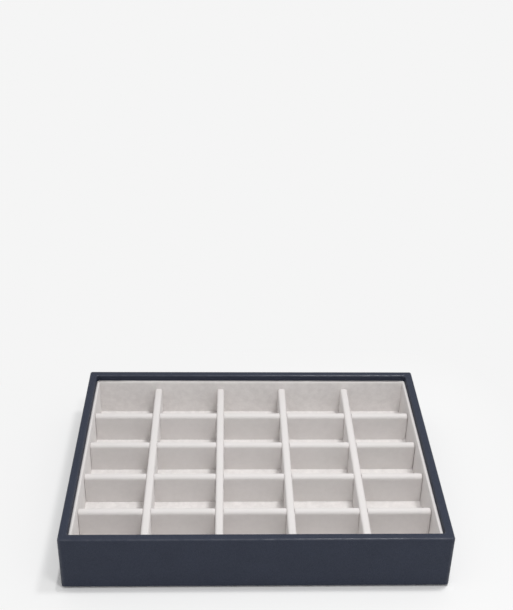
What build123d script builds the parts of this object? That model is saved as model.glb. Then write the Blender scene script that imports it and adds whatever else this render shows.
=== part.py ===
from build123d import *
import os

# Jewelry tray: a leather-wrapped wooden frame, lined with velvet and parted into
# twenty-five small compartments by a grid of cross-lapped, velvet-wrapped dividers.
# +X runs to the right, +Y to the back and +Z up.
# The origin is the middle of the footprint, on the table.

# Whole tray
tray_width = 250.0
tray_depth = 180.0
tray_height = 42.0

# Wooden frame: four mitred walls and the base board let into their feet
board_thickness = 4.0
base_thickness = 5.0
base_rebate = 2.0

# Leather round the frame, turned in over the rim and under the foot
leather_thickness = 0.75
rim_turn_in = 14.0
foot_turn_in = 16.0
upright_edge_radius = 1.6
foot_edge_radius = 1.0
rim_edge_radius = 1.2
rim_inner_corner_radius = 1.3

# Pad under the tray, which drops into the rim of the tray below
pad_thickness = 1.0
pad_corner_radius = 4.0
pad_edge_radius = 0.5
pad_window_clearance = 0.3
stacking_clearance = 1.0

# Velvet-wrapped linings of the walls
velvet_thickness = 0.7
lining_card_thickness = 0.8
lining_edge_radius = 1.0
lining_corner_radius = 1.5
lining_end_clearance = 0.1
rim_above_lining = 4.4

# Floor of the compartments
floor_card_thickness = 1.7
floor_clearance = 0.2

# Velvet-wrapped dividers
divider_height = 22.0
divider_core_thickness = 4.0
divider_core_edge_radius = 1.6
divider_end_clearance = 0.15
lap_clearance = 0.2

# The dividers are set by hand, so some stand a little off their even places:
# the columns to the right and the rows to the back, by these shares of the pitch.
# A minus sign turns that to the left and to the front.
column_drift_shares = (0, 0, -0.0125, 0)
row_drift_shares = (-0.024, -0.018, -0.009, -0.018)

# How far the cuts for the lap slots run past an edge
cut_overrun = 1.0

# Heights above the table
frame_bottom = pad_thickness + leather_thickness
frame_top = tray_height - leather_thickness
frame_height = frame_top - frame_bottom
base_top = frame_bottom + base_thickness
floor_card_top = base_top + floor_card_thickness
floor_top = floor_card_top + velvet_thickness
turn_in_bottom = tray_height - rim_turn_in
lining_top = tray_height - rim_above_lining
lining_height = lining_top - floor_top

# Distances in plan, from the middle of the tray outwards
frame_x = tray_width / 2 - leather_thickness
frame_y = tray_depth / 2 - leather_thickness
frame_inner_x = frame_x - board_thickness
frame_inner_y = frame_y - board_thickness
opening_x = frame_inner_x - leather_thickness
opening_y = frame_inner_y - leather_thickness
lining_thickness = lining_card_thickness + 2 * velvet_thickness
inside_x = opening_x - lining_thickness
inside_y = opening_y - lining_thickness

# Grid of the dividers: columns run front to back, rows run side to side.
# Column 1 is the left one and row 1 the rear one.
divider_count = len(column_drift_shares)
divider_thickness = divider_core_thickness + 2 * velvet_thickness
column_pitch = (2 * inside_x + divider_thickness) / (divider_count + 1)
row_pitch = (2 * inside_y + divider_thickness) / (divider_count + 1)
middle = (divider_count - 1) / 2
column_places = [(i - middle + column_drift_shares[i]) * column_pitch for i in range(divider_count)]
row_places = [(middle - i + row_drift_shares[i]) * row_pitch for i in range(divider_count)]


def save(piece, name):
    """Label a finished piece and write it to its own file."""
    piece.part.label = name
    export_step(piece.part, f"parts/{name}.step")


def make_wall(name, outer_start, outer_end, inner_start, inner_end):
    """One wall board, mitred at both ends and rebated at its foot for the base."""
    with BuildPart() as wall:
        with BuildSketch(Plane.XY.offset(frame_bottom)):
            with BuildLine():
                Polyline(outer_start, outer_end, inner_end, inner_start, close=True)
            make_face()
        extrude(amount=frame_height)
        with BuildSketch(Plane.XY.offset(frame_bottom)):
            Rectangle(2 * base_x, 2 * base_y)
        extrude(amount=base_thickness, mode=Mode.SUBTRACT)
    save(wall, name)


def make_lining(name, origin, along, length, corner_radius):
    """One lining panel: a card in a velvet sleeve that is open at the floor.

    Its plan is drawn with local +Y pointing at the wall behind it, and only the
    upright edges against that wall are rounded.
    """
    plan = Plane(origin=origin, x_dir=along, z_dir=(0, 0, 1))
    with BuildPart() as card:
        with BuildSketch(plan):
            with Locations((0, -velvet_thickness)):
                Rectangle(
                    length - 2 * velvet_thickness,
                    lining_card_thickness,
                    align=(Align.CENTER, Align.MAX),
                )
        extrude(amount=lining_height - velvet_thickness)
    save(card, f"{name}_card")

    with BuildPart() as velvet:
        with BuildSketch(plan) as outline:
            Rectangle(length, lining_thickness, align=(Align.CENTER, Align.MAX))
            if corner_radius:
                fillet(outline.vertices().group_by(Axis.Y)[-1], radius=corner_radius)
        extrude(amount=lining_height)
        fillet(velvet.faces().sort_by(Axis.Z)[-1].edges(), radius=lining_edge_radius)
        with BuildSketch(plan):
            with Locations((0, -velvet_thickness)):
                Rectangle(
                    length - 2 * velvet_thickness,
                    lining_card_thickness,
                    align=(Align.CENTER, Align.MAX),
                )
        extrude(amount=lining_height - velvet_thickness, mode=Mode.SUBTRACT)
    save(velvet, f"{name}_velvet")


def make_divider(name, section, side, length, crossings, slot_foot, slot_height):
    """One divider: a board core and the velvet folded over it, both slotted.

    The section plane looks along the divider and the side plane looks across it.
    Each slot takes one of the dividers that cross this one.
    """
    slot_width = divider_thickness + lap_clearance
    with BuildSketch(section) as core_section:
        Rectangle(
            divider_core_thickness,
            divider_height - velvet_thickness,
            align=(Align.CENTER, Align.MIN),
        )
        fillet(core_section.vertices().group_by(Axis.Y)[-1], radius=divider_core_edge_radius)
    with BuildSketch(section) as velvet_section:
        Rectangle(divider_thickness, divider_height, align=(Align.CENTER, Align.MIN))
        fillet(
            velvet_section.vertices().group_by(Axis.Y)[-1],
            radius=divider_core_edge_radius + velvet_thickness,
        )
        add(core_section.sketch_local, mode=Mode.SUBTRACT)
    for part_name, profile in (("core", core_section), ("velvet", velvet_section)):
        with BuildPart() as piece:
            extrude(profile.sketch, amount=length / 2, both=True)
            with BuildSketch(side):
                with Locations(*[(place, slot_foot) for place in crossings]):
                    Rectangle(slot_width, slot_height, align=(Align.CENTER, Align.MIN))
            extrude(amount=divider_thickness, both=True, mode=Mode.SUBTRACT)
        save(piece, f"{name}_{part_name}")


os.makedirs("parts", exist_ok=True)

# Base board
base_x = frame_inner_x + base_rebate
base_y = frame_inner_y + base_rebate
with BuildPart() as base_board:
    with BuildSketch(Plane.XY.offset(frame_bottom)):
        Rectangle(2 * base_x, 2 * base_y)
    extrude(amount=base_thickness)
save(base_board, "base_board")

# Four walls, taken anticlockwise from the front left corner
outer_corners = [(-frame_x, -frame_y), (frame_x, -frame_y), (frame_x, frame_y), (-frame_x, frame_y)]
inner_corners = [
    (-frame_inner_x, -frame_inner_y),
    (frame_inner_x, -frame_inner_y),
    (frame_inner_x, frame_inner_y),
    (-frame_inner_x, frame_inner_y),
]
for i, side_name in enumerate(("front", "right", "back", "left")):
    following = (i + 1) % len(outer_corners)
    make_wall(
        f"{side_name}_wall",
        outer_corners[i],
        outer_corners[following],
        inner_corners[i],
        inner_corners[following],
    )

# Leather: up the outside, over the rim, down inside behind the linings, and
# turned under the foot round a window that the pad fills
window_x = tray_width / 2 - foot_turn_in
window_y = tray_depth / 2 - foot_turn_in
with BuildPart() as outer_leather:
    with BuildSketch(Plane.XY.offset(pad_thickness)) as footprint:
        Rectangle(tray_width, tray_depth)
        fillet(footprint.vertices(), radius=upright_edge_radius)
    extrude(amount=tray_height - pad_thickness)
    foot_edges = outer_leather.faces().sort_by(Axis.Z)[0].edges()
    fillet(foot_edges, radius=foot_edge_radius)
    with BuildSketch(Plane.XY.offset(tray_height)) as opening:
        Rectangle(2 * opening_x, 2 * opening_y)
        fillet(opening.vertices(), radius=rim_inner_corner_radius)
    extrude(amount=-rim_turn_in, mode=Mode.SUBTRACT)
    rim_edges = outer_leather.faces().sort_by(Axis.Z)[-1].edges()
    fillet(rim_edges, radius=rim_edge_radius)
    with BuildSketch(Plane.XY.offset(frame_bottom)):
        Rectangle(2 * frame_x, 2 * frame_y)
    extrude(amount=turn_in_bottom - frame_bottom, mode=Mode.SUBTRACT)
    with BuildSketch(Plane.XY.offset(turn_in_bottom)):
        Rectangle(2 * frame_x, 2 * frame_y)
        Rectangle(2 * frame_inner_x, 2 * frame_inner_y, mode=Mode.SUBTRACT)
    extrude(amount=frame_top - turn_in_bottom, mode=Mode.SUBTRACT)
    with BuildSketch(Plane.XY.offset(frame_bottom)):
        Rectangle(2 * window_x, 2 * window_y)
    extrude(amount=-leather_thickness, mode=Mode.SUBTRACT)
save(outer_leather, "outer_leather")

# Pad: glued to the base board through the window and to the turned-in leather
# round it, and small enough to drop inside the rim of a tray like this one
pad_x = opening_x - stacking_clearance
pad_y = opening_y - stacking_clearance
with BuildPart() as base_pad:
    with BuildSketch() as pad_outline:
        Rectangle(2 * pad_x, 2 * pad_y)
        fillet(pad_outline.vertices(), radius=pad_corner_radius)
    extrude(amount=pad_thickness)
    fillet(base_pad.faces().sort_by(Axis.Z)[0].edges(), radius=pad_edge_radius)
    with BuildSketch(Plane.XY.offset(pad_thickness)):
        Rectangle(2 * (window_x - pad_window_clearance), 2 * (window_y - pad_window_clearance))
    extrude(amount=leather_thickness)
save(base_pad, "base_pad")

# Floor: a card and its velvet, lying on the base board between the walls
floor_x = frame_inner_x - floor_clearance
floor_y = frame_inner_y - floor_clearance
for name, height, thickness in (
    ("floor_card", base_top, floor_card_thickness),
    ("floor_velvet", floor_card_top, velvet_thickness),
):
    with BuildPart() as floor_sheet:
        with BuildSketch(Plane.XY.offset(height)):
            Rectangle(2 * floor_x, 2 * floor_y)
        extrude(amount=thickness)
    save(floor_sheet, name)

# Linings stand on the floor. The front and back ones run the whole width, and
# the side ones butt against them.
long_lining = 2 * (opening_x - lining_end_clearance)
short_lining = 2 * (inside_y - lining_end_clearance)
make_lining("back_lining", (0, opening_y, floor_top), (1, 0, 0), long_lining, lining_corner_radius)
make_lining("front_lining", (0, -opening_y, floor_top), (-1, 0, 0), long_lining, lining_corner_radius)
make_lining("right_lining", (opening_x, 0, floor_top), (0, -1, 0), short_lining, 0)
make_lining("left_lining", (-opening_x, 0, floor_top), (0, 1, 0), short_lining, 0)

# Dividers: the columns are slotted from below up to half their height and drop
# over the rows, which are slotted from above, so that each crossing is a half lap
half_height = divider_height / 2
column_slot_height = half_height + lap_clearance / 2 + cut_overrun
row_slot_foot = half_height - lap_clearance / 2
row_slot_height = divider_height - row_slot_foot + cut_overrun
for i, place in enumerate(column_places):
    make_divider(
        f"column_divider_{i + 1}",
        Plane(origin=(place, 0, floor_top), x_dir=(1, 0, 0), z_dir=(0, -1, 0)),
        Plane(origin=(place, 0, floor_top), x_dir=(0, 1, 0), z_dir=(1, 0, 0)),
        2 * (inside_y - divider_end_clearance),
        row_places,
        -cut_overrun,
        column_slot_height,
    )
for i, place in enumerate(row_places):
    make_divider(
        f"row_divider_{i + 1}",
        Plane(origin=(0, place, floor_top), x_dir=(0, 1, 0), z_dir=(1, 0, 0)),
        Plane(origin=(0, place, floor_top), x_dir=(1, 0, 0), z_dir=(0, -1, 0)),
        2 * (inside_x - divider_end_clearance),
        column_places,
        row_slot_foot,
        row_slot_height,
    )
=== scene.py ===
import bpy
import numpy as np
from bpy.props import FloatProperty, FloatVectorProperty, PointerProperty
from mathutils import Matrix, Vector


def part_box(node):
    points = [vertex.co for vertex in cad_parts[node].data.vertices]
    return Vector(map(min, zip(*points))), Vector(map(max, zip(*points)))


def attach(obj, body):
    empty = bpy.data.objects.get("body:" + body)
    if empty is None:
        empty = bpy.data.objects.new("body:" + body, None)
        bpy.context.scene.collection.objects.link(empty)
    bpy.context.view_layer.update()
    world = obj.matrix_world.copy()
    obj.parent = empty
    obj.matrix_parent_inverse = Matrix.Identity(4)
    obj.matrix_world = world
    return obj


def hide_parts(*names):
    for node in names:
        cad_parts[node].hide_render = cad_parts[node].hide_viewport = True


bl_info = {
    "name": "Jewelry tray",
    "version": (1, 0, 0),
    "blender": (4, 5, 0),
    "location": "3D View > Sidebar > Tray",
    "description": "Dresses a divided jewelry tray in grained leather and short-pile velvet",
    "category": "Object",
}

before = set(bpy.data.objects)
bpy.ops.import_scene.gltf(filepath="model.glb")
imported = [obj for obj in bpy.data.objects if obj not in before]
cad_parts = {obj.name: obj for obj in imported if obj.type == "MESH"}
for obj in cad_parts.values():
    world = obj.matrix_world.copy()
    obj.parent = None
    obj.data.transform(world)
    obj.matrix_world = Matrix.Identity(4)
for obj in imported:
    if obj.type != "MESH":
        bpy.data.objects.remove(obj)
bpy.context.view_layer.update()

# The one body that everything rides on
BODY = "root"
SIDES = ("front", "right", "back", "left")
COLUMNS = [f"column_divider_{i}" for i in range(1, 5)]
ROWS = [f"row_divider_{i}" for i in range(1, 5)]

# Height of the photograph's frame in pixels, and width of the camera's sensor in millimetres
FRAME_HEIGHT = 610
SENSOR = 36.0

# Kinds of socket in the shader node groups
NUMBER, VECTOR = "NodeSocketFloat", "NodeSocketVector"

# How many steps a rounded edge and a corner have
ARC_STEPS = 6
CORNER_STEPS = 8

# Spacing of the points along each kind of piece, in metres
WRAP_STEP = 0.004
LINING_STEP = 0.003
FLOOR_STEP = 0.002
DIVIDER_STEP = 0.0022

# Least radii of upright corners, in metres
LEAST_RADIUS = 0.00005
LEAST_LINING_RADIUS = 0.00002

# Points nearer than this, in metres, count as touching
TOUCH = 1e-6

# Faces that meet at more than this angle keep a sharp edge
SHARP_ANGLE = np.radians(38)

# Number of sine waves in a ripple
WAVES = 9

# Share of a divider board's thickness that the velvet leaves bare at a cut end
BARE_SHARE = 0.03


def setting(kind, **fixed):
    """A maker of settings of one kind, each with its own name, default and description."""
    def make(name, default, description, **own):
        return kind(name=name, default=default, description=description, **{**fixed, **own})
    return make


# Kinds of setting, in metres, shares, linear colours, watts, radians and pixels
size = setting(FloatProperty, min=0.0, precision=5, subtype="DISTANCE", unit="LENGTH")
place = setting(FloatVectorProperty, size=3, precision=4, subtype="XYZ", unit="LENGTH")
amount = setting(FloatProperty, min=0.0, max=1.0, subtype="FACTOR")
colour = setting(FloatVectorProperty, size=3, min=0.0, max=1.0, subtype="COLOR")
power = setting(FloatProperty, min=0.0, unit="POWER")
angle = setting(FloatProperty, subtype="ANGLE", unit="ROTATION")
pixels = setting(FloatProperty, min=1.0)


class TrayLeatherSettings(bpy.types.PropertyGroup):
    """Sizes and colour of the leather round the frame."""

    thickness: size("Thickness", 0.00075, "Thickness of the leather")
    rim_width: size("Rim width", 0.0055, "Width of the rim, from the outer face to the opening")
    rim_turn_in: size("Rim turn-in", 0.014, "How far the leather goes down inside the rim")
    foot_turn_in: size("Foot turn-in", 0.016, "How far the leather goes in under the foot")
    upright_radius: size("Upright edges", 0.0016, "Radius of the four upright edges")
    foot_radius: size("Foot edge", 0.001, "Radius of the edge round the foot")
    rim_radius: size("Rim edges", 0.0012, "Radius of both edges of the rim")
    opening_radius: size("Opening corners", 0.0013, "Radius of the opening's corners")
    slack: size("Slack", 0.00006, "How far the leather swells and sinks between its glued spots")
    fold_depth: size("Fold depth", 0.00025, "Depth of the mitred folds under the foot")
    # Side edges keep less of the paler colour, as the painted highlight falls on front and back
    side_wear_and_highlight: amount("Side wear and highlight", 0.35, "Wear of the side edges beside that of front and back")
    pebble: size("Pebble", 0.00085, "Size of one pebble of the grain")
    tint: colour("Navy", (0.036, 0.043, 0.066), "Colour of the leather")
    # Paler navy painted on the marked edges: real rubbing and a painted highlight together
    worn_and_highlight_tint: colour("Worn and highlit navy", (0.052, 0.058, 0.080), "Colour where an edge is rubbed")


class TrayVelvetSettings(bpy.types.PropertyGroup):
    """Sizes and colour of the velvet on the linings, the floor and the dividers."""

    thickness: size("Thickness", 0.0007, "Thickness of the velvet")
    lining_edge: size("Lining edges", 0.001, "Radius of the top edges of the linings")
    lining_corner: size("Lining corners", 0.0017, "Radius of the upright edges of the long linings")
    column_edge: size("Column edges", 0.0017, "Radius of the top edges of the columns")
    row_edge: size("Row edges", 0.0023, "Radius of the top edges of the rows")
    lap_clearance: size("Lap clearance", 0.0002, "Play of a divider in the slot of another")
    tight_depth: size("Tight end depth", 0.0002, "Depth of the rounding at the tight ends")
    tight_reach: size("Tight end reach", 0.0006, "Length of the rounding at the tight ends")
    loose_depth: size("Loose end depth", 0.00062, "Depth of the rounding at the rows' right ends")
    loose_reach: size("Loose end reach", 0.0014, "Length of the rounding at the rows' right ends")
    puff: size("Puff", 0.00009, "How far the velvet swells and sinks on its card or board")
    fibre: size("Fibre", 0.00028, "Size of one tuft of the pile")
    patch: size("Patch", 0.028, "Size of a patch where the pile lies one way")
    tint: colour("Oyster", (0.765, 0.733, 0.726), "Colour of the velvet")
    shaded_tint: colour("Flat oyster", (0.722, 0.704, 0.684), "Colour where the pile lies flat")
    # Paler oyster painted as light: most on the floor, less on the upright faces, least on the tops
    painted_light_tint: colour("Oyster with painted light", (0.866, 0.840, 0.826), "Colour where the pile stands up")


class TrayPadSettings(bpy.types.PropertyGroup):
    """Sizes and colour of the felt pad under the tray."""

    corner: size("Corners", 0.004, "Radius of the pad's corners")
    edge: size("Edge", 0.0005, "Radius of the pad's lower edge")
    window_clearance: size("Window clearance", 0.0003, "Play round the pad in the leather's window")
    fibre: size("Fibre", 0.0005, "Size of one strand of the felt")
    tint: colour("Felt", (0.60, 0.58, 0.56), "Colour of the felt")
    shaded_tint: colour("Matted felt", (0.50, 0.48, 0.46), "Colour where the felt is matted")


class TrayBoardSettings(bpy.types.PropertyGroup):
    """Colours of the boards and cards that the leather and velvet cover."""

    fibre: size("Fibre", 0.0006, "Size of one strand of the pressed board")
    wall_tint: colour("Wall board", (0.42, 0.29, 0.18), "Colour of the frame's boards")
    core_tint: colour("Divider board", (0.46, 0.33, 0.21), "Colour of the dividers' cores")
    card_tint: colour("Card", (0.36, 0.34, 0.31), "Colour of the cards")


class TrayStageSettings(bpy.types.PropertyGroup):
    """The floor and the light."""

    floor_size: size("Floor", 9.0, "Length of each side of the floor")
    floor_tint: colour("Floor colour", (0.95, 0.95, 0.95), "Colour of the floor")
    backdrop_tint: colour("Backdrop colour", (0.913, 0.913, 0.913), "Colour of the backdrop")
    key_power: power("Key power", 1.3, "Power of the key lamp")
    key_place: place("Key place", (0.110, -0.273, 0.750), "Place of the key lamp")
    key_width: size("Key width", 0.11, "Width of the round key lamp")
    top_power: power("Top power", 3.25, "Power of the soft lamp overhead")
    top_place: place("Top place", (0.25, 0.0, 1.0), "Place of the soft lamp overhead")
    top_width: size("Top width", 0.13, "Width of the soft lamp overhead")
    sky: amount("Sky light", 0.59, "Strength of the light from all round", max=10.0)
    contact: size("Contact", 0.0045, "How far from the tray its contact shadow is left whole")
    backdrop_near: amount("Backdrop near", 0.45, "Share of backdrop in the floor beside the tray")
    backdrop_reach: size("Backdrop reach", 0.09, "How far away the floor is plain backdrop")


class TrayCameraSettings(bpy.types.PropertyGroup):
    """Where the camera stands."""

    eye: place("Place", (-0.020755, -0.552181, 0.500644), "Place of the camera")
    pitch: angle("Pitch", np.radians(29.7559), "How far the camera looks down")
    yaw: angle("Yaw", np.radians(2.0408), "How far the camera is turned to the right")
    roll: angle("Roll", np.radians(1.2748), "How far the camera is tilted sideways")
    focal_pixels: pixels("Focal length", 1006.438, "Focal length in pixels of the photograph")
    axis_height: pixels("Axis height", 270.0, "Pixels from the frame's top to the optical axis")


def ripple(points, length, seed):
    """A smooth swell of about -1 to 1 at each point.

    It is the mean of sine waves with random directions and phases and with lengths
    of 0.6 to 1.6 times `length`, times half the square root of their number.
    """
    rng = np.random.default_rng(seed)
    directions = rng.normal(size=(WAVES, 3))
    directions /= np.linalg.norm(directions, axis=1, keepdims=True)
    lengths = length * rng.uniform(0.6, 1.6, WAVES)
    phases = rng.uniform(0, 2 * np.pi, WAVES)
    waves = np.sin(points @ (directions / lengths[:, None]).T * 2 * np.pi + phases)
    return waves.mean(axis=-1) * np.sqrt(WAVES) / 2


def ease(values, low, high):
    """A smooth step: 0 below low, 1 above high, 3t squared less 2t cubed between."""
    t = np.clip((values - low) / (high - low), 0, 1)
    return t * t * (3 - 2 * t)


def arc(centre, radius, start, stop):
    """Points along a circular arc from one angle to another, in degrees."""
    a = np.radians(np.linspace(start, stop, ARC_STEPS + 1))
    return np.stack([centre[0] + radius * np.cos(a), centre[1] + radius * np.sin(a)], -1)


def line(start, stop, step):
    """Points along a straight line, its ends left out, about a step apart."""
    start, stop = np.array(start, float), np.array(stop, float)
    count = max(1, int(round(np.linalg.norm(stop - start) / step)))
    t = np.linspace(0, 1, count + 1)[1:-1, None]
    return start + (stop - start) * t


def side_shares(length, step):
    """Shares of a straight side, closer together near its two ends."""
    near = np.array([0.0004, 0.0009, 0.0018, 0.0032])
    near = near[near < length / 4]
    start = near[-1] if len(near) else 0.0
    count = max(2, int(round((length - 2 * start) / step)))
    between = np.linspace(start, length - start, count + 1)
    if not len(near):
        between = between[1:-1]
    inner = np.concatenate([near[:-1], between, (length - near[:-1])[::-1]])
    return inner / length


def carry_round(half_x, half_y, profile, radii, step):
    """Carries a profile round a rectangle with rounded corners.

    The profile gives how far in from the rectangle and how high each of its
    points is. The radii give the roundness of the corners there, one for all
    four or one for each, starting at the back right and going anticlockwise.
    Each point draws four quarter circles and the four straight lines between
    them. Returns the points, ring after ring, and how many a ring has.
    """
    inset, height = profile[:, 0], profile[:, 1]
    radii = np.broadcast_to(np.reshape(radii, (len(profile), -1)), (len(profile), 4))
    turns = np.radians(np.linspace(0, 90, CORNER_STEPS + 1))
    arcs = []
    for k, (sign_x, sign_y) in enumerate(((1, 1), (-1, 1), (-1, -1), (1, -1))):
        angles = turns + k * np.pi / 2
        radius = radii[:, k:k + 1]
        x = sign_x * (half_x - inset[:, None] - radius) + radius * np.cos(angles)
        y = sign_y * (half_y - inset[:, None] - radius) + radius * np.sin(angles)
        arcs.append(np.stack([x, y], -1))
    rings = []
    for k, length in enumerate((half_x, half_y, half_x, half_y)):
        start, stop = arcs[k][:, -1:], arcs[(k + 1) % 4][:, :1]
        t = side_shares(2 * length, step)[None, :, None]
        rings += [arcs[k], start + (stop - start) * t]
    plan = np.concatenate(rings, axis=1)
    heights = np.broadcast_to(height[:, None, None], plan.shape[:2] + (1,))
    return np.concatenate([plan, heights], axis=-1).reshape(-1, 3), plan.shape[1]


def make_piece(name, points, quads, caps=(), marks=None):
    """A mesh object from arrays of points and four-sided faces, with many-sided caps.

    The marks are one value for each point, of wear and painted light, kept as the attribute
    `wear_and_painted_light`.
    """
    mesh = bpy.data.meshes.new(name)
    corners = np.concatenate([quads.ravel(), *caps]).astype(np.int32)
    counts = np.concatenate([np.full(len(quads), 4), [len(cap) for cap in caps]]).astype(np.int32)
    starts = np.concatenate([[0], np.cumsum(counts)[:-1]]).astype(np.int32)
    mesh.vertices.add(len(points))
    mesh.vertices.foreach_set("co", points.astype(np.float32).ravel())
    mesh.loops.add(len(corners))
    mesh.loops.foreach_set("vertex_index", corners)
    mesh.polygons.add(len(counts))
    mesh.polygons.foreach_set("loop_start", starts)
    if marks is not None:
        wear_and_painted_light = mesh.attributes.new("wear_and_painted_light", "FLOAT", "POINT")
        wear_and_painted_light.data.foreach_set("value", marks.astype(np.float32).ravel())
    mesh.update(calc_edges=True)
    mesh.validate()
    piece = bpy.data.objects.new(name, mesh)
    bpy.context.scene.collection.objects.link(piece)
    return piece


def make_rings(name, points, columns, marks, closed_profile=False):
    """A piece of rings of points, joined each to the next by four-sided faces.

    A closed profile joins the last ring to the first too. An open one gets a
    many-sided cap at each end.
    """
    rows, around = len(points) // columns, np.arange(columns)
    last = rows if closed_profile else rows - 1
    i, j = np.meshgrid(np.arange(last), around, indexing="ij")
    here, up, along = i * columns, (i + 1) % rows * columns, (j + 1) % columns
    quads = np.stack([here + j, here + along, up + along, up + j], -1).reshape(-1, 4)
    caps = () if closed_profile else (around[::-1], (rows - 1) * columns + around)
    return make_piece(name, points, quads, caps, marks)


def sheet_faces(rows, columns):
    """Four-sided faces of a grid of points."""
    i, j = np.meshgrid(np.arange(rows - 1), np.arange(columns - 1), indexing="ij")
    corner = i * columns + j
    return np.stack([corner, corner + 1, corner + columns + 1, corner + columns], -1)


def close_sheet(name, outer, inner, quads, marks):
    """A closed piece between an outer sheet of points and the inner points under them.

    The inner sheet has the same faces, turned over. Wherever a face of the outer
    sheet has no neighbour, a rim face joins the two sheets.
    """
    count = len(outer)
    edges = np.stack([quads, np.roll(quads, -1, axis=1)], -1).reshape(-1, 2)
    keys, reverse = edges[:, 0] * count + edges[:, 1], edges[:, 1] * count + edges[:, 0]
    start, stop = edges[~np.isin(keys, reverse)].T
    rims = np.stack([stop, start, start + count, stop + count], -1)
    used, numbers = np.unique(
        np.concatenate([quads, quads[:, ::-1] + count, rims]), return_inverse=True
    )
    points = np.concatenate([outer, inner])[used]
    wear_and_painted_light = np.concatenate([marks, np.zeros(count)])[used]
    return make_piece(name, points, numbers.reshape(-1, 4), marks=wear_and_painted_light)


def dress(piece, material, slot, *nodes):
    """Shades a finished piece smooth up to its sharp edges, and puts it in the tray."""
    mesh = piece.data
    mesh.shade_smooth()
    mesh.set_sharp_from_angle(angle=SHARP_ANGLE)
    mesh.materials.clear()
    mesh.materials.append(material)
    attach(piece, BODY)
    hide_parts(*nodes)


def make_group(name, inputs, outputs):
    """An empty shader node group with named sockets. Returns it, its input and its output."""
    group = bpy.data.node_groups.new(name, "ShaderNodeTree")
    for label, kind, default in inputs:
        socket = group.interface.new_socket(name=label, in_out="INPUT", socket_type=kind)
        if default is not None:
            socket.default_value = default
    for label, kind in outputs:
        group.interface.new_socket(name=label, in_out="OUTPUT", socket_type=kind)
    source = group.nodes.new("NodeGroupInput")
    sink = group.nodes.new("NodeGroupOutput")
    return group, source, sink


def join(tree, socket, value):
    """Links a socket to another one, or sets it to a number or colour."""
    if isinstance(value, bpy.types.NodeSocket):
        tree.links.new(value, socket)
    else:
        socket.default_value = value


def feed(tree, node, **values):
    """Joins a node's inputs, named with underscores for spaces. Returns its outputs."""
    for label, value in values.items():
        join(tree, node.inputs[label.replace("_", " ")], value)
    return node.outputs


def noise(tree, vector, scale, detail, roughness=0.55):
    """A noise texture, whose scale is a number or a socket. Returns its value."""
    node = tree.nodes.new("ShaderNodeTexNoise")
    return feed(tree, node, Vector=vector, Scale=scale, Detail=detail, Roughness=roughness)["Fac"]


def combine(tree, operation, first, second):
    """A math node on two numbers or sockets. Returns its value."""
    node = tree.nodes.new("ShaderNodeMath")
    node.operation = operation
    for socket, value in zip(node.inputs, (first, second)):
        join(tree, socket, value)
    return node.outputs[0]


def vector_combine(tree, operation, first, second=None):
    """A vector math node on a socket and, if given, a triple. Returns its result."""
    node = tree.nodes.new("ShaderNodeVectorMath")
    node.operation = operation
    tree.links.new(first, node.inputs[0])
    if second is not None:
        node.inputs[1].default_value = second
    return node.outputs["Value" if operation == "LENGTH" else "Vector"]


def spread(tree, value, low, high, new_low, new_high):
    """A value mapped from one range to another and held inside it."""
    node = tree.nodes.new("ShaderNodeMapRange")
    ends = {"From_Min": low, "From_Max": high, "To_Min": new_low, "To_Max": new_high}
    return feed(tree, node, Value=value, **ends)["Result"]


def blend_colours(tree, factor, first, second):
    """A mix of two colours, each a triple or a socket. Returns its colour."""
    node = tree.nodes.new("ShaderNodeMix")
    node.data_type = "RGBA"
    feed(tree, node, Factor=factor)
    for socket, value in ((node.inputs[6], first), (node.inputs[7], second)):
        linked = isinstance(value, bpy.types.NodeSocket)
        join(tree, socket, value if linked else (*value, 1.0))
    return node.outputs[2]


def make_pebble_group():
    """Pebbled grain: rounded cells with fine creases between them, and pores."""
    tree, source, sink = make_group(
        "Pebbled grain",
        (("Vector", VECTOR, None), ("Pebbles per metre", NUMBER, 1200.0)),
        (("Height", NUMBER), ("Creases", NUMBER), ("Mottle", NUMBER)),
    )
    where, scale = source.outputs["Vector"], source.outputs["Pebbles per metre"]
    cells = tree.nodes.new("ShaderNodeTexVoronoi")
    cells.feature = "DISTANCE_TO_EDGE"
    to_edge = feed(tree, cells, Vector=where, Scale=scale)["Distance"]
    crease_width, pore_scale, pore_depth, mottle_scale = 0.28, 2.6, 0.5, 0.045
    pebbles = spread(tree, to_edge, 0.0, crease_width, 0.0, 1.0)
    creases = combine(tree, "SUBTRACT", 1.0, pebbles)
    pores = noise(tree, where, combine(tree, "MULTIPLY", scale, pore_scale), detail=3.0)
    height = combine(tree, "ADD", pebbles, combine(tree, "MULTIPLY", pores, pore_depth))
    mottle = noise(tree, where, combine(tree, "MULTIPLY", scale, mottle_scale), detail=3.0)
    feed(tree, sink, Height=height, Creases=creases, Mottle=mottle)
    return tree


def make_nap_group():
    """Cut pile: fine tufts, and broad patches where the pile lies one way."""
    tree, source, sink = make_group(
        "Cut pile",
        (
            ("Vector", VECTOR, None),
            ("Tufts per metre", NUMBER, 3500.0),
            ("Patches per metre", NUMBER, 48.0),
        ),
        (("Height", NUMBER), ("Tufts", NUMBER), ("Patches", NUMBER)),
    )
    where, scale = source.outputs["Vector"], source.outputs["Tufts per metre"]
    clump_scale, clump_depth, patch_low, patch_high = 0.22, 0.8, 0.32, 0.68
    tufts = noise(tree, where, scale, detail=2.0, roughness=0.7)
    clumps = noise(tree, where, combine(tree, "MULTIPLY", scale, clump_scale), detail=2.0)
    height = combine(tree, "ADD", tufts, combine(tree, "MULTIPLY", clumps, clump_depth))
    broad = noise(tree, where, source.outputs["Patches per metre"], detail=3.0)
    patches = spread(tree, broad, patch_low, patch_high, 0.0, 1.0)
    feed(tree, sink, Height=height, Tufts=tufts, Patches=patches)
    return tree


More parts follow.
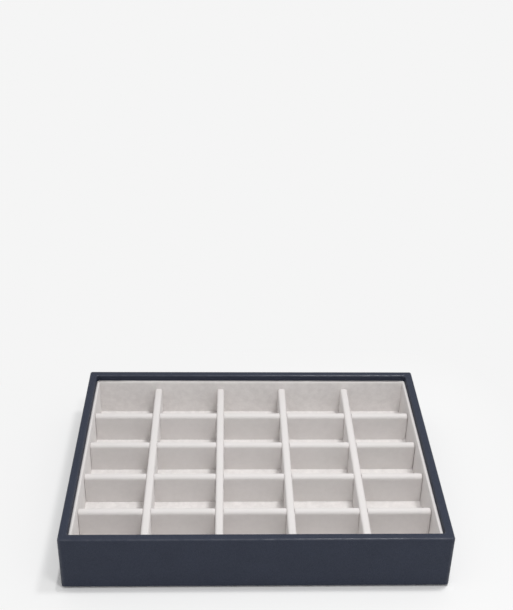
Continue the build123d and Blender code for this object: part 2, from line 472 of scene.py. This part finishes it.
def make_wear_and_light_group():
    """Edge wear and painted light: a mask that follows the marked places and is broken up by a
    noise.
    """
    tree, source, sink = make_group(
        "Edge wear and painted light",
        (("Vector", VECTOR, None), ("Edge", NUMBER, 0.0), ("Breaks per metre", NUMBER, 260.0)),
        (("Mask", NUMBER),),
    )
    least_wear, low, high = 0.25, 0.35, 0.72
    patchy = noise(tree, source.outputs["Vector"], source.outputs["Breaks per metre"], detail=4.0)
    broken = spread(tree, patchy, low, high, least_wear, 1.0)
    feed(tree, sink, Mask=combine(tree, "MULTIPLY", source.outputs["Edge"], broken))
    return tree


def use_group(tree, group, **values):
    """Puts a node group in a material and feeds it. Returns its outputs."""
    node = tree.nodes.new("ShaderNodeGroup")
    node.node_tree = group
    return feed(tree, node, **values)


def start_material(name):
    """A new material. Returns it, its node tree, its shader and its object coordinates."""
    material = bpy.data.materials.new(name)
    material.use_nodes = True
    tree = material.node_tree
    shader = tree.nodes["Principled BSDF"]
    where = tree.nodes.new("ShaderNodeTexCoord").outputs["Object"]
    return material, tree, shader, where


def relief(tree, shader, height, depth):
    """Feeds a height to the shader's normal as a bump that is so deep, in metres."""
    bump = tree.nodes.new("ShaderNodeBump")
    bumped = feed(tree, bump, Strength=1.0, Distance=depth, Height=height)["Normal"]
    feed(tree, shader, Normal=bumped)


def shared_group(name, maker):
    """A node group of this name, made by the maker the first time it is asked for."""
    return bpy.data.node_groups.get(name) or maker()


def marked_wear_and_light(tree, where):
    """The mask of wear and painted light of a piece whose mesh marks where they fall."""
    marked = tree.nodes.new("ShaderNodeAttribute")
    marked.attribute_name = "wear_and_painted_light"
    wear = shared_group("Edge wear and painted light", make_wear_and_light_group)
    return use_group(tree, wear, Vector=where, Edge=marked.outputs["Fac"])["Mask"]


def make_leather(settings):
    """Navy leather: a satin pebble grain, its edges paler from rubbing and a painted highlight."""
    material, tree, shader, where = start_material("navy_leather")
    pebbles = shared_group("Pebbled grain", make_pebble_group)
    grain = use_group(tree, pebbles, Vector=where, Pebbles_per_metre=1.0 / settings.pebble)
    base = np.array(settings.tint)
    mottle, crease_share, crease_shade, rub_and_highlight_share = 0.14, 0.45, 0.55, 0.55
    tone = blend_colours(tree, grain["Mottle"], base * (1 - mottle), base * (1 + mottle))
    creases = combine(tree, "MULTIPLY", grain["Creases"], crease_share)
    creased = blend_colours(tree, creases, tone, base * crease_shade)
    # Painted highlight and rubbing: the marked edges turn paler and glossier
    wear_and_painted_light = marked_wear_and_light(tree, where)
    rub_and_highlight = combine(tree, "MULTIPLY", wear_and_painted_light, rub_and_highlight_share)
    rubbed_and_highlit = blend_colours(tree, rub_and_highlight, creased, settings.worn_and_highlight_tint)
    smoothest, roughest, polish, grain_depth = 0.44, 0.62, 0.07, 0.00006
    gloss = spread(tree, grain["Creases"], 0.0, 1.0, smoothest, roughest)
    polished = combine(tree, "SUBTRACT", gloss, combine(tree, "MULTIPLY", wear_and_painted_light, polish))
    feed(
        tree, shader, Base_Color=rubbed_and_highlit, Roughness=polished, Coat_Weight=wear_and_painted_light,
        Coat_Roughness=0.2, Specular_IOR_Level=0.12,
    )
    relief(tree, shader, grain["Height"], grain_depth)
    return material


def lay_fibres(name, fibre, patches, tones, mottle, strand, strand_share, roughness, depth):
    """A new material of short strands over a mottled tone.

    The fibre is the size of a strand, and the patches are how many fit in a metre.
    The second tone covers the first up to the mottle's share, and the strand's
    colour both up to its own. Roughness is the lowest and the highest. Returns the
    material, tree, shader, coordinates and colour.
    """
    material, tree, shader, where = start_material(name)
    pile = shared_group("Cut pile", make_nap_group)
    nap = use_group(
        tree, pile, Vector=where, Tufts_per_metre=1.0 / fibre, Patches_per_metre=patches
    )
    tone = blend_colours(tree, combine(tree, "MULTIPLY", nap["Patches"], mottle), *tones)
    strands = spread(tree, nap["Tufts"], 0.3, 0.7, 0.0, strand_share)
    colour_there = blend_colours(tree, strands, tone, strand)
    matt = spread(tree, nap["Tufts"], 0.2, 0.8, *roughness)
    feed(tree, shader, Base_Color=colour_there, Roughness=matt)
    relief(tree, shader, nap["Height"], depth)
    return material, tree, shader, where, colour_there


def make_velvet(settings):
    """Oyster velvet: short tufts with a soft sheen, paler where painted light marks the floor and
    faces.
    """
    material, tree, shader, where, tufted = lay_fibres(
        "oyster_velvet", settings.fibre, 1.0 / settings.patch,
        tones=(settings.tint, settings.shaded_tint), mottle=0.5,
        strand=np.array(settings.shaded_tint) * 0.86, strand_share=0.2,
        roughness=(0.84, 0.97), depth=0.00005,
    )
    # Painted light: the marked floor and upright faces turn paler than the tops
    painted_light = blend_colours(tree, marked_wear_and_light(tree, where), tufted, settings.painted_light_tint)
    feed(
        tree, shader, Base_Color=painted_light, Specular_IOR_Level=0.18,
        Sheen_Weight=0.12, Sheen_Roughness=0.45,
    )
    return material


def make_felt(settings):
    """Felt: matted strands with a dull, uneven tone."""
    material, tree, shader, _, _ = lay_fibres(
        "taupe_felt", settings.fibre, 60.0,
        tones=(settings.tint, settings.shaded_tint), mottle=0.6,
        strand=np.array(settings.shaded_tint) * 0.8, strand_share=0.5,
        roughness=(0.88, 0.98), depth=0.00012,
    )
    feed(tree, shader, Specular_IOR_Level=0.15)
    return material


def make_board(name, tint, fibre):
    """Pressed board or card: short strands over a mottled tone."""
    base = np.array(tint)
    return lay_fibres(
        name, fibre, 90.0, tones=(base * 0.9, base * 1.1), mottle=1.0,
        strand=base * 0.7, strand_share=0.6, roughness=(0.68, 0.88), depth=0.00005,
    )[0]


def velvet(settings):
    """The one velvet material that the linings, floor and dividers share."""
    return bpy.data.materials.get("oyster_velvet") or make_velvet(settings)


def halves(low, high):
    """Half the width and half the depth of a box."""
    return (high.x - low.x) / 2, (high.y - low.y) / 2


def centre_of(low, high):
    """The middle of a box, seen from above."""
    return (low.x + high.x) / 2, (low.y + high.y) / 2


def nearest(values, places):
    """The distance from each value to the nearest of the places."""
    return np.min(np.abs(values[:, None] - np.asarray(places)[None, :]), axis=1)


def swelling(points, broad, fine, share, seeds):
    """How far a covering has sunk between its glued spots at each point, from 0 to 1.

    It is a half plus half the mix of a broad and a fine ripple, by the broad one's share.
    """
    mixed = share * ripple(points, broad, seeds[0]) + (1 - share) * ripple(points, fine, seeds[1])
    return 0.5 + 0.5 * np.clip(mixed, -1, 1)


class TRAY_OT_leather_wrap(bpy.types.Operator):
    """Wraps the frame in leather, over the rim and in under the foot"""

    bl_idname = "tray.leather_wrap"
    bl_label = "Leather wrap"

    def execute(self, context):
        """Carries the leather's closed section round the frame, then adds slack and folds.

        The slack is a ripple along each point's direction from the frame's middle
        line, and the folds are grooves along the diagonals under the foot: depth
        times one less a smooth step of the distance from the diagonal.
        """
        s = context.scene.tray_leather
        low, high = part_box("outer_leather")
        half_x, half_y = halves(low, high)
        top, foot = high.z, low.z
        rim_foot, under_rim = top - s.rim_turn_in, s.rim_width - s.thickness
        foot_step, wall_step, rim_step = 0.0024, 0.0028, 0.0008
        rounded = (2, 4, 6)
        pieces = [
            np.array([[s.foot_turn_in, foot]]),
            line((s.foot_turn_in, foot), (s.foot_radius, foot), foot_step),
            arc((s.foot_radius, foot + s.foot_radius), s.foot_radius, -90, -180),
            line((0, foot + s.foot_radius), (0, top - s.rim_radius), wall_step),
            arc((s.rim_radius, top - s.rim_radius), s.rim_radius, 180, 90),
            line((s.rim_radius, top), (s.rim_width - s.rim_radius, top), rim_step),
            arc((s.rim_width - s.rim_radius, top - s.rim_radius), s.rim_radius, 90, 0),
            line((s.rim_width, top - s.rim_radius), (s.rim_width, rim_foot), wall_step),
            np.array([
                [s.rim_width, rim_foot], [under_rim, rim_foot],
                [under_rim, top - s.thickness], [s.thickness, top - s.thickness],
                [s.thickness, foot + s.thickness], [s.foot_turn_in, foot + s.thickness],
            ]),
        ]
        profile = np.concatenate(pieces)
        inset = profile[:, 0]
        hidden = np.arange(len(profile)) > len(profile) - len(pieces[-1])
        outside = np.maximum(s.upright_radius - inset, LEAST_RADIUS)
        opening = s.opening_radius + (s.rim_width - inset)
        at_opening = (inset > s.rim_width - s.rim_radius - TOUCH) & (inset <= s.rim_width + TOUCH)
        at_opening &= profile[:, 1] > rim_foot - TOUCH
        radii = np.where(at_opening & ~hidden, opening, outside)
        rim_flat = (profile[:, 1] > top - TOUCH) & ~at_opening & (inset > s.rim_radius)
        share = (inset - s.rim_radius) / (s.rim_width - 2 * s.rim_radius)
        outer_end, inner_end = s.upright_radius - s.rim_radius, s.opening_radius + s.rim_radius
        radii = np.where(rim_flat, outer_end * (1 - share) + share * inner_end, radii)
        points, columns = carry_round(half_x, half_y, profile, radii, WRAP_STEP)

        depth = 0.003
        middle = np.clip(
            points, (depth - half_x, depth - half_y, foot + depth),
            (half_x - depth, half_y - depth, top - depth),
        )
        away = points - middle
        lengths = np.linalg.norm(away, axis=1, keepdims=True)
        away = np.divide(away, lengths, out=np.zeros_like(away), where=lengths > TOUCH)
        shown = np.repeat(~hidden, columns)
        swell = swelling(points, broad=0.030, fine=0.011, share=0.7, seeds=(11, 12))
        points = points - away * (s.slack * swell * shown)[:, None]

        near_x, near_y = half_x - np.abs(points[:, 0]), half_y - np.abs(points[:, 1])
        from_diagonal = np.abs(near_x - near_y) / np.sqrt(2)
        fold_bottom, fold_edge, foot_height = 0.0001, 0.0011, 0.0003
        under = (points[:, 2] < foot + foot_height) & shown
        points[:, 2] += s.fold_depth * (1 - ease(from_diagonal, fold_bottom, fold_edge)) * under

        # Edge marks for rubbing and painted highlight, less on the side edges, where no highlight
        # falls
        foot_wear_and_highlight, upright_wear_and_highlight = 0.7, 0.6
        marks = np.concatenate([
            np.sin(np.linspace(0, np.pi, len(piece))) ** 2 * (k in rounded)
            for k, piece in enumerate(pieces)
        ])
        marks[profile[:, 1] < top / 2] *= foot_wear_and_highlight
        rubbed_and_highlit, spared = s.upright_radius * 0.6, s.upright_radius * 1.6
        upright = 1 - ease(np.hypot(near_x, near_y), rubbed_and_highlit, spared)
        wear_and_highlight_by_side = np.where(near_x < near_y, s.side_wear_and_highlight, 1.0)
        wear_and_painted_light = np.maximum(np.repeat(marks, columns) * wear_and_highlight_by_side, upright * upright_wear_and_highlight)

        wrap = make_rings("leather_wrap", points, columns, wear_and_painted_light, closed_profile=True)
        dress(wrap, make_leather(s), "leather", "outer_leather")
        return {"FINISHED"}


class TRAY_OT_wall_linings(bpy.types.Operator):
    """Covers the four lining cards with velvet sleeves"""

    bl_idname = "tray.wall_linings"
    bl_label = "Wall linings"

    def execute(self, context):
        """Carries a sleeve's section round each card: down inside, out at the foot, up and over.

        A ripple sinks the top and the side that faces the compartments. On that side
        it dies out at the foot and at both ends.
        """
        s = context.scene.tray_velvet
        long_corners = {"front": (0, 0, 1, 1), "back": (1, 1, 0, 0)}
        wall_step, calm_start, calm_stop = 0.0025, 0.001, 0.005
        for seed, side in enumerate(SIDES):
            node = f"{side}_lining_velvet"
            low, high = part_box(node)
            half_x, half_y = halves(low, high)
            foot, top = low.z, high.z
            narrow = min(half_x, half_y)
            edge = min(s.lining_edge, narrow - LEAST_RADIUS)
            is_long = side in long_corners
            other = 2 * (narrow - LEAST_RADIUS) - s.lining_corner if is_long else edge
            inside = [[s.thickness, top - s.thickness], [s.thickness, foot]]
            profile = np.concatenate([
                inside, [[0, foot]], line((0, foot), (0, top - edge), wall_step),
                arc((edge, top - edge), edge, 180, 90),
            ])
            rounder = np.array(long_corners.get(side, (0, 0, 0, 0)))
            radii = np.where(rounder, s.lining_corner, other) - profile[:, :1]
            radii = np.maximum(radii, LEAST_LINING_RADIUS)
            radii[:len(inside)] = LEAST_LINING_RADIUS
            points, columns = carry_round(half_x, half_y, profile, radii, LINING_STEP)
            centre, rows = centre_of(low, high), len(profile)
            points += (*centre, 0)
            along, across = (0, 1) if half_x > half_y else (1, 0)
            outward = np.sign(points[:, across] - centre[across])
            open_side = outward == -np.sign(centre[across])
            shown = np.repeat(np.arange(rows) > len(inside), columns)
            swell = swelling(
                points, broad=0.022, fine=0.008, share=0.6, seeds=(30 + seed, 40 + seed)
            )
            sunk = s.puff * swell * shown
            ends = np.minimum(points[:, along] - low[along], high[along] - points[:, along])
            calm = ease(points[:, 2] - foot, calm_start, calm_stop)
            calm *= ease(ends, calm_start, calm_stop)
            points[:, across] -= outward * sunk * calm * open_side
            points[:, 2] -= sunk * (points[:, 2] > top - edge)

            # Painted light on the lining faces, more on the long ones, fading towards the top edge
            painted_light, painted_light_top = 0.8 if is_long else 0.4, 0.1
            marks = np.full(rows, painted_light)
            marks[-(ARC_STEPS + 1):] = np.linspace(painted_light, painted_light_top, ARC_STEPS + 1)
            marks = np.repeat(marks, columns)
            cover = make_rings(f"{side}_lining_cover", points, columns, marks)
            dress(cover, velvet(s), "velvet", node)
        return {"FINISHED"}


class TRAY_OT_floor_cloth(bpy.types.Operator):
    """Lays the velvet on the floor of the compartments"""

    bl_idname = "tray.floor_cloth"
    bl_label = "Floor cloth"

    def execute(self, context):
        """A grid over the floor, sunk by a ripple, above a flat grid one thickness down."""
        s = context.scene.tray_velvet
        low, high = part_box("floor_velvet")
        x = np.linspace(low.x, high.x, int((high.x - low.x) / FLOOR_STEP) + 1)
        y = np.linspace(low.y, high.y, int((high.y - low.y) / FLOOR_STEP) + 1)
        grid_y, grid_x = np.meshgrid(y, x, indexing="ij")
        points = np.stack([grid_x, grid_y, np.full_like(grid_x, high.z)], -1).reshape(-1, 3)
        under = points - np.array([0, 0, s.thickness])
        swell = swelling(points, broad=0.019, fine=0.007, share=0.65, seeds=(51, 52))
        points[:, 2] -= s.puff * swell
        quads = sheet_faces(*grid_x.shape).reshape(-1, 4)
        # Painted light: the whole floor cloth is marked for the palest oyster
        cloth = close_sheet("floor_cover", points, under, quads, np.ones(len(points)))
        dress(cloth, velvet(s), "velvet", "floor_velvet")
        return {"FINISHED"}


def fold_over(name, low, high, along, crossings, slot, s, seed):
    """The velvet folded over one divider, with its lap slots.

    The outer face is a grid: along the divider, and up one side, round the top
    edges and down the other side. The inner face lies one thickness in along the
    section's normals. The cells of the grid inside a slot are left out. Beside a slot
    the inner points come close to the middle plane, so the velvet covers all but a
    hair of the board's cut end. The outer face is drawn in by a ripple, which dies
    out at slots, foot and ends, and by quarter ellipses that round both ends of each
    run between two slots.
    """
    across = 1 - along
    middle = (low[across] + high[across]) / 2
    half = (high[across] - low[across]) / 2
    foot, top = low[2], high[2]
    edge = s.column_edge if along == 1 else s.row_edge
    tight = s.tight_depth, s.tight_reach
    loose = tight if along == 1 else (s.loose_depth, s.loose_reach)
    slot_low, slot_high = slot
    bands = ((foot, slot_low), (slot_low, slot_high), (slot_high, top - edge))
    levels_per_band = 5
    levels = np.unique(np.round(np.concatenate([
        np.linspace(*band, levels_per_band) for band in bands
    ]), 7))
    levels = levels[levels < top - edge + TOUCH]
    side = np.stack([np.full(len(levels), half), levels], -1)
    turn = arc((half - edge, top - edge), edge, 0, 90)
    right = np.concatenate([side[:-1], turn, [[0.0, top]]])
    angles = np.radians(np.linspace(0, 90, ARC_STEPS + 1))
    normal = np.concatenate([
        np.tile([1.0, 0.0], (len(side) - 1, 1)), np.stack([np.cos(angles), np.sin(angles)], -1),
        [[0.0, 1.0]],
    ])
    mirror = np.array([-1, 1])
    section = np.concatenate([right, right[:-1][::-1] * mirror])
    normal = np.concatenate([normal, normal[:-1][::-1] * mirror])

    slot_half = half + s.lap_clearance / 4
    stops = [low[along], high[along]]
    for crossing in crossings:
        stops += [crossing - slot_half, crossing + slot_half]
    stops = np.array(sorted(stops))
    near_stop = np.array([0.06, 0.2, 0.5, 1.0])
    u = np.unique(np.round(np.concatenate([
        np.concatenate([
            [a], a + near_stop * tight[1],
            np.linspace(a, b, int((b - a) / DIVIDER_STEP) + 3)[1:-1],
            b - near_stop * loose[1], [b],
        ])
        for a, b in zip(stops[:-1], stops[1:])
    ]), 7))
    shape = len(u), len(section)
    height = section[None, :, 1]

    def quarter(distance, rounding):
        """The depth of a quarter ellipse at each distance from a stop."""
        depth, reach = rounding
        share = np.clip(1 - distance / reach, 0, 1)
        return (depth * (1 - np.sqrt(1 - share**2)))[:, None]

    below, above, calm_reach, foot_reach = 0.001, 0.002, 0.004, 0.0005
    beside_slot = ease(height, slot_low - above, slot_low + below) * (
        1 - ease(height, slot_high, slot_high + above)
    )
    at_slots = beside_slot * np.maximum(
        quarter(nearest(u, stops[2::2]), tight), quarter(nearest(u, stops[1:-1:2]), loose)
    )
    at_ends = np.maximum(quarter(u - low[along], tight), quarter(high[along] - u, loose))
    to_end = np.minimum(u - low[along], high[along] - u)
    calm = ease(nearest(u, crossings) - slot_half, 0.0, calm_reach) * ease(to_end, 0.0, calm_reach)
    calm = calm[:, None] * ease(height, foot + foot_reach, foot + calm_reach)

    def lay(inward):
        """The section's points all along the divider, each drawn in by its own depth."""
        drawn = section - normal * inward[..., None]
        points = np.zeros((*shape, 3))
        points[..., along] = u[:, None]
        points[..., across] = middle + drawn[..., 0]
        points[..., 2] = drawn[..., 1]
        return points

    inner = lay(np.full(shape, s.thickness))
    beside_cut = (section[:, 1] > slot_low + TOUCH) & (section[:, 1] < slot_high - TOUCH)
    if along == 0:
        beside_cut |= section[:, 1] > top - edge
    at_board = np.ix_(nearest(u, stops[1:-1]) < TOUCH, beside_cut, [across])
    inner[at_board] = middle + (inner[at_board] - middle) * BARE_SHARE
    flat = lay(np.zeros(shape)).reshape(-1, 3)
    swell = swelling(flat, broad=0.018, fine=0.0065, share=0.6, seeds=(seed, seed + 500))
    sunk = s.puff * swell.reshape(shape) * calm
    outer = lay(np.maximum(sunk, np.maximum(at_ends, at_slots)))

    centre_u = (u[:-1] + u[1:]) / 2
    centre_z = (section[:-1, 1] + section[1:, 1]) / 2
    in_slot = nearest(centre_u, crossings) < slot_half
    cut = in_slot[:, None] & ((centre_z > slot_low) & (centre_z <= slot_high))[None, :]
    quads = sheet_faces(*shape)[~cut]
    if along == 1:
        quads = quads[:, ::-1]
    # Painted light on the divider's sides, fading to none over the top
    face_painted_light = 0.3
    painted_light_marks = np.broadcast_to(face_painted_light * (1 - ease(height, top - edge, top)), shape).ravel()
    return close_sheet(name, outer.reshape(-1, 3), inner.reshape(-1, 3), quads, painted_light_marks)


class TRAY_OT_dividers(bpy.types.Operator):
    """Folds velvet over the eight dividers, slotted where they cross"""

    bl_idname = "tray.dividers"
    bl_label = "Dividers"

    def execute(self, context):
        """Columns are slotted from below and rows from above, each to half its height."""
        s = context.scene.tray_velvet
        boxes = {name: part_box(f"{name}_velvet") for name in COLUMNS + ROWS}
        column_x = [centre_of(*boxes[name])[0] for name in COLUMNS]
        row_y = [centre_of(*boxes[name])[1] for name in ROWS]
        for seed, name in enumerate(COLUMNS + ROWS, start=60):
            low, high = boxes[name]
            half_way, play = (low.z + high.z) / 2, s.lap_clearance / 2
            if name in COLUMNS:
                along, crossings, slot = 1, row_y, (low.z, half_way + play)
            else:
                along, crossings, slot = 0, column_x, (half_way - play, high.z)
            cover = fold_over(f"{name}_cover", low, high, along, crossings, slot, s, seed)
            dress(cover, velvet(s), "velvet", f"{name}_velvet")
        return {"FINISHED"}


class TRAY_OT_base_pad(bpy.types.Operator):
    """Makes the felt pad under the tray"""

    bl_idname = "tray.base_pad"
    bl_label = "Base pad"

    def execute(self, context):
        """Carries the pad's section round it: along the bottom, up the edge, in and up."""
        s = context.scene.tray_pad
        leather = context.scene.tray_leather
        low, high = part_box("base_pad")
        outer_low, outer_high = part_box("outer_leather")
        half_x, half_y = halves(low, high)
        window = halves(outer_low, outer_high)[0] - leather.foot_turn_in - s.window_clearance
        step_in, step_height = half_x - window, outer_low.z
        profile = np.concatenate([
            [[step_in, low.z]], arc((s.edge, low.z + s.edge), s.edge, -90, -180),
            [[0, step_height], [step_in, step_height], [step_in, high.z]],
        ])
        radii = np.maximum(s.corner - profile[:, 0], LEAST_RADIUS)
        points, columns = carry_round(half_x, half_y, profile, radii, WRAP_STEP)
        pad = make_rings("under_pad", points, columns, np.zeros(len(points)))
        dress(pad, make_felt(s), "pad_felt", "base_pad")
        return {"FINISHED"}


class TRAY_OT_boards(bpy.types.Operator):
    """Finishes the boards and cards under the leather and velvet"""

    bl_idname = "tray.boards"
    bl_label = "Boards and cards"

    def execute(self, context):
        """Gives each kind of board and card its own material, and leaves its shape alone."""
        s = context.scene.tray_boards
        walls = [f"{side}_wall" for side in SIDES] + ["base_board"]
        cores = [f"{name}_core" for name in COLUMNS + ROWS]
        cards = [f"{side}_lining_card" for side in SIDES] + ["floor_card"]
        for name, tint, nodes in (
            ("wall_board", s.wall_tint, walls),
            ("core_board", s.core_tint, cores),
            ("grey_card", s.card_tint, cards),
        ):
            material = make_board(name, tint, s.fibre)
            for node in nodes:
                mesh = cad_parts[node].data
                mesh.materials.clear()
                mesh.materials.append(material)
        return {"FINISHED"}


def hang_lamp(name, watts, spot, width):
    """A round lamp that hangs at a spot and shines at the middle of the tray."""
    light = bpy.data.lights.new(name, "AREA")
    light.shape = "DISK"
    light.size = width
    light.energy = watts
    lamp = bpy.data.objects.new(name, light)
    bpy.context.scene.collection.objects.link(lamp)
    lamp.visible_camera = False
    turn = Vector(spot).to_track_quat("Z", "Y").to_matrix().to_4x4()
    lamp.matrix_world = Matrix.Translation(spot) @ turn


def mix_shaders(tree, factor, first, second, output):
    """Feeds a mix of two shaders to the named output node."""
    mix = tree.nodes.new("ShaderNodeMixShader")
    for source, socket in zip((factor, first.outputs[0], second.outputs[0]), mix.inputs):
        tree.links.new(source, socket)
    tree.links.new(mix.outputs[0], tree.nodes[output].inputs["Surface"])


def make_floor_material(s):
    """A pale floor, which the camera sees turn into plain backdrop away from the tray.

    Right beside the tray the floor keeps its whole shadow. From there the share of
    backdrop climbs steeply to the one beside the tray, and then slowly to one.
    """
    material, tree, shader, where = start_material("studio_floor")
    mottle, dimmest = noise(tree, where, scale=3.0, detail=2.0), 0.995
    tone = blend_colours(tree, mottle, s.floor_tint, np.array(s.floor_tint) * dimmest)
    feed(tree, shader, Base_Color=tone, Roughness=1.0, Specular_IOR_Level=0.0)
    plain = tree.nodes.new("ShaderNodeEmission")
    feed(tree, plain, Color=(*s.backdrop_tint, 1.0))
    footprint = (*halves(*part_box("outer_leather")), 0)
    beside = vector_combine(tree, "SUBTRACT", vector_combine(tree, "ABSOLUTE", where), footprint)
    away = vector_combine(tree, "LENGTH", vector_combine(tree, "MAXIMUM", beside, (0, 0, 0)))
    climb = s.contact * 0.7
    share = combine(
        tree, "ADD", spread(tree, away, climb, s.contact, 0.0, s.backdrop_near),
        spread(tree, away, s.contact, s.backdrop_reach, 0.0, 1 - s.backdrop_near),
    )
    seen = tree.nodes.new("ShaderNodeLightPath").outputs["Is Camera Ray"]
    mix_shaders(tree, combine(tree, "MULTIPLY", seen, share), shader, plain, "Material Output")
    return material


def make_world(s):
    """Even white light from all round, behind a backdrop that only shows."""
    world = bpy.data.worlds.new("studio")
    world.use_nodes = True
    tree = world.node_tree
    sky = tree.nodes["Background"]
    feed(tree, sky, Color=(1.0, 1.0, 1.0, 1.0), Strength=s.sky)
    backdrop = tree.nodes.new("ShaderNodeBackground")
    feed(tree, backdrop, Color=(*s.backdrop_tint, 1.0), Strength=1.0)
    rays = tree.nodes.new("ShaderNodeLightPath").outputs
    shown = combine(tree, "MAXIMUM", rays["Is Camera Ray"], rays["Is Transmission Ray"])
    shown = combine(tree, "MAXIMUM", shown, rays["Is Glossy Ray"])
    mix_shaders(tree, shown, sky, backdrop, "World Output")
    return world


class TRAY_OT_stage(bpy.types.Operator):
    """Lays the pale floor and lights it"""

    bl_idname = "tray.stage"
    bl_label = "Floor and light"

    def execute(self, context):
        """Makes a square floor under the tray, two lamps and the light from all round."""
        s = context.scene.tray_stage
        half = s.floor_size / 2
        corners = np.array([[-half, -half, 0], [half, -half, 0], [half, half, 0], [-half, half, 0]])
        floor = make_piece("floor", corners, np.array([[0, 1, 2, 3]]))
        floor.data.materials.append(make_floor_material(s))
        hang_lamp("key", s.key_power, s.key_place, s.key_width)
        hang_lamp("top", s.top_power, s.top_place, s.top_width)
        context.scene.world = make_world(s)
        context.scene.view_settings.view_transform = "Standard"
        return {"FINISHED"}


class TRAY_OT_camera(bpy.types.Operator):
    """Stands the camera where the photograph was taken from"""

    bl_idname = "tray.camera"
    bl_label = "Camera"

    def execute(self, context):
        """The camera's axes follow from its pitch and yaw, and are then rolled about the view."""
        s = context.scene.tray_camera
        view = np.array([
            np.sin(s.yaw) * np.cos(s.pitch), np.cos(s.yaw) * np.cos(s.pitch), -np.sin(s.pitch)
        ])
        level = np.array([np.cos(s.yaw), -np.sin(s.yaw), 0.0])
        upward = np.cross(level, view)
        right = np.cos(s.roll) * level + np.sin(s.roll) * upward
        up = -np.sin(s.roll) * level + np.cos(s.roll) * upward
        data = bpy.data.cameras.new("camera")
        data.sensor_width = SENSOR
        data.lens = s.focal_pixels * SENSOR / FRAME_HEIGHT
        data.shift_y = (s.axis_height - FRAME_HEIGHT / 2) / FRAME_HEIGHT
        data.clip_start = 0.01
        camera = bpy.data.objects.new("camera", data)
        context.scene.collection.objects.link(camera)
        matrix = np.identity(4)
        matrix[:3, 0], matrix[:3, 1], matrix[:3, 2] = right, up, -view
        matrix[:3, 3] = s.eye
        camera.matrix_world = Matrix(matrix.tolist())
        context.scene.camera = camera
        return {"FINISHED"}


OPERATORS = (
    TRAY_OT_camera, TRAY_OT_leather_wrap, TRAY_OT_wall_linings, TRAY_OT_floor_cloth,
    TRAY_OT_dividers, TRAY_OT_base_pad, TRAY_OT_boards, TRAY_OT_stage,
)

SETTINGS = (
    ("tray_leather", TrayLeatherSettings, "Leather"),
    ("tray_velvet", TrayVelvetSettings, "Velvet"),
    ("tray_pad", TrayPadSettings, "Pad"),
    ("tray_boards", TrayBoardSettings, "Boards"),
    ("tray_stage", TrayStageSettings, "Stage"),
    ("tray_camera", TrayCameraSettings, "Camera"),
)


class TRAY_PT_panel(bpy.types.Panel):
    """Sizes, colours and making of the tray"""

    bl_idname = "TRAY_PT_panel"
    bl_label = "Jewelry tray"
    bl_space_type = "VIEW_3D"
    bl_region_type = "UI"
    bl_category = "Tray"

    def draw(self, context):
        """Shows every setting under its heading, and then a button for each operator."""
        for attribute, group, heading in SETTINGS:
            box = self.layout.box()
            box.label(text=heading)
            for name in group.__annotations__:
                box.prop(getattr(context.scene, attribute), name)
        for operator in OPERATORS:
            self.layout.operator(operator.bl_idname)


def register():
    """Makes the settings, operators and panel known to Blender."""
    for _, group, _ in SETTINGS:
        bpy.utils.register_class(group)
    for operator in OPERATORS:
        bpy.utils.register_class(operator)
    bpy.utils.register_class(TRAY_PT_panel)
    for attribute, group, _ in SETTINGS:
        setattr(bpy.types.Scene, attribute, PointerProperty(type=group))


def unregister():
    """Takes them out again, in reverse order."""
    for attribute, _, _ in reversed(SETTINGS):
        delattr(bpy.types.Scene, attribute)
    bpy.utils.unregister_class(TRAY_PT_panel)
    for operator in reversed(OPERATORS):
        bpy.utils.unregister_class(operator)
    for _, group, _ in reversed(SETTINGS):
        bpy.utils.unregister_class(group)


def main():
    register()
    bpy.ops.tray.camera()
    bpy.ops.tray.leather_wrap()
    bpy.ops.tray.wall_linings()
    bpy.ops.tray.floor_cloth()
    bpy.ops.tray.dividers()
    bpy.ops.tray.base_pad()
    bpy.ops.tray.boards()
    bpy.ops.tray.stage()


if __name__ == "__main__":
    main()
